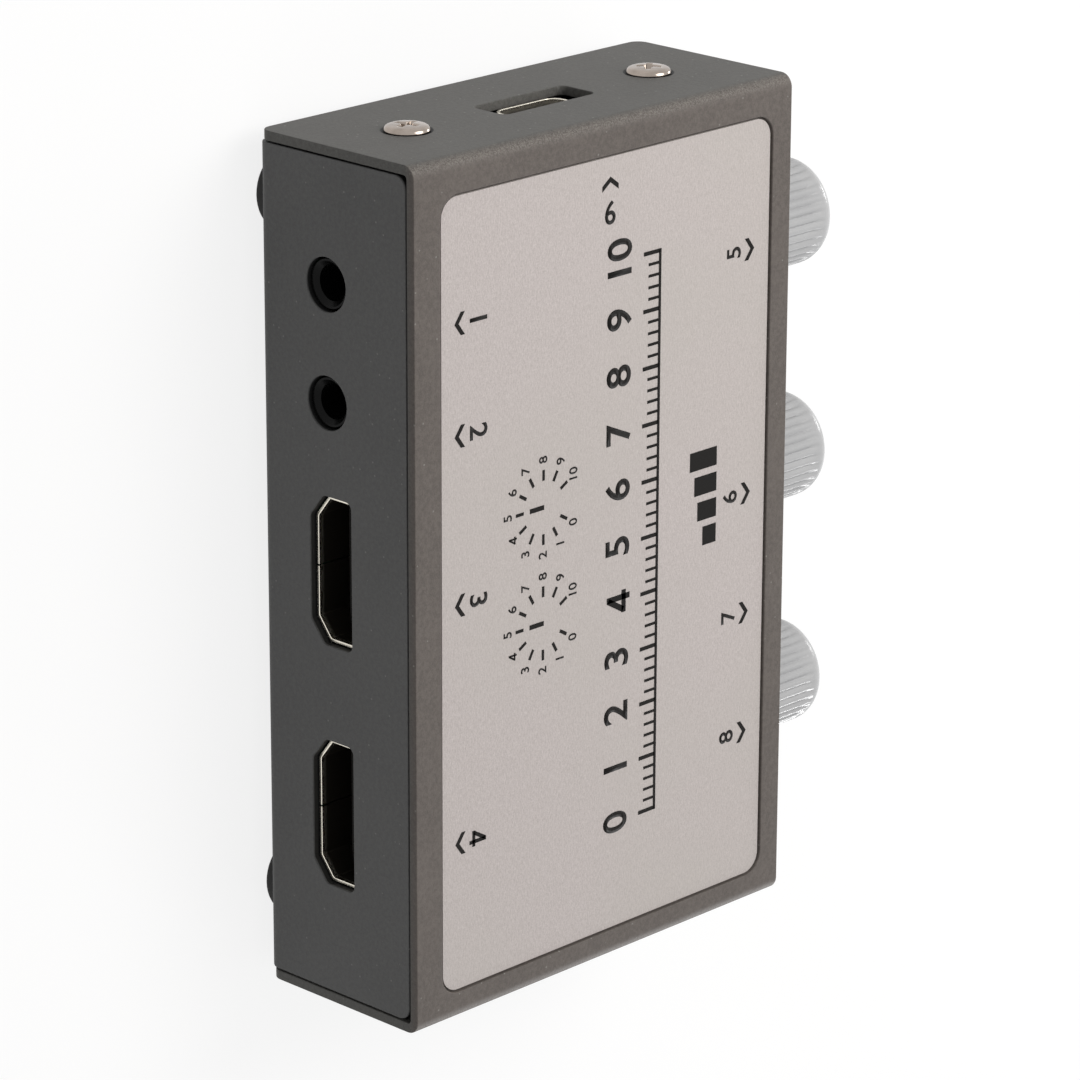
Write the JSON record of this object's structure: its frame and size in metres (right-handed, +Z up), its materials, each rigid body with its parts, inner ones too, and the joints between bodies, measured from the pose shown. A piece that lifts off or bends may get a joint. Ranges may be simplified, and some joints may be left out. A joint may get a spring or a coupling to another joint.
{
  "type": "video capture box",
  "caption": "Small folded-metal video capture box with sockets and jacks on one side, rotary level knobs on the other and a recessed label plate",
  "frame": {"origin": "on the plane that the feet rest on, under the middle of the enclosure (the knobs stand out past it on one side)", "axes": "+X along the box towards the end with the host socket, +Y towards the side with the jacks and video sockets, +Z up out of the label face"},
  "size_m": [0.0894, 0.0635, 0.0237],
  "materials": {
    "painted_steel": "dark grey fine textured paint, satin",
    "printed_label": "light warm grey printed plate, satin, fine grain",
    "foot_rubber": "matt black",
    "nickel_screw": "bright nickel plate",
    "plated_steel": "dull tin and zinc plate",
    "board_resin": "dark green solder mask",
    "socket_shell": "nickel plated sheet, satin",
    "socket_plastic": "black moulded plastic",
    "gold_contact": "thin gold plate",
    "pot_metal": "die cast zinc",
    "wafer_resin": "brown laminated resin",
    "shaft_metal": "turned aluminium",
    "knob_plastic": "light grey satin plastic with fine ribs",
    "lamp_resin": "moulded lamp body",
    "clear_plastic": "clear moulded acrylic",
    "chip_resin": "matt black moulding compound",
    "can_aluminium": "drawn aluminium can",
    "inductor_ferrite": "dark ferrite"
  },
  "bodies": {
    "enclosure": {"tray": "painted_steel", "cover": "painted_steel", "label_plate": "printed_label", "rubber_feet": "foot_rubber", "cover_screws": "nickel_screw", "standoffs": "plated_steel", "circuit_board": "board_resin", "board_screws": "plated_steel", "video_out_shell": "socket_shell", "video_out_core": "socket_plastic", "video_out_contacts": "gold_contact", "video_in_shell": "socket_shell", "video_in_core": "socket_plastic", "video_in_contacts": "gold_contact", "headset_jack": "socket_plastic", "headset_springs": "gold_contact", "line_jack": "socket_plastic", "line_springs": "gold_contact", "host_shell": "socket_shell", "host_core": "socket_plastic", "host_contacts": "gold_contact", "line_pot": "pot_metal", "mic_pot": "pot_metal", "video_pot": "pot_metal", "line_wafer": "wafer_resin", "mic_wafer": "wafer_resin", "video_wafer": "wafer_resin", "lamp": "lamp_resin", "light_guide": "clear_plastic", "main_chip": "chip_resin", "small_chips": "chip_resin", "capacitors": "can_aluminium", "inductors": "inductor_ferrite", "crystal": "plated_steel"},
    "line_control": {"line_shaft": "shaft_metal", "line_knob": "knob_plastic"},
    "mic_control": {"mic_shaft": "shaft_metal", "mic_knob": "knob_plastic"},
    "video_control": {"video_shaft": "shaft_metal", "video_knob": "knob_plastic"}
  },
  "joints": [
    {"name": "line_turn", "type": "hinge", "parent": "enclosure", "child": "line_control", "pos_m": [0.0268, -0.0323, 0.0155], "axis": [0, -1, 0], "range_deg": [-150, 150]},
    {"name": "mic_turn", "type": "hinge", "parent": "enclosure", "child": "mic_control", "pos_m": [0.0016, -0.0323, 0.0155], "axis": [0, -1, 0], "range_deg": [-150, 150]},
    {"name": "video_turn", "type": "hinge", "parent": "enclosure", "child": "video_control", "pos_m": [-0.0236, -0.0323, 0.0155], "axis": [0, -1, 0], "range_deg": [-150, 150]}
  ]
}
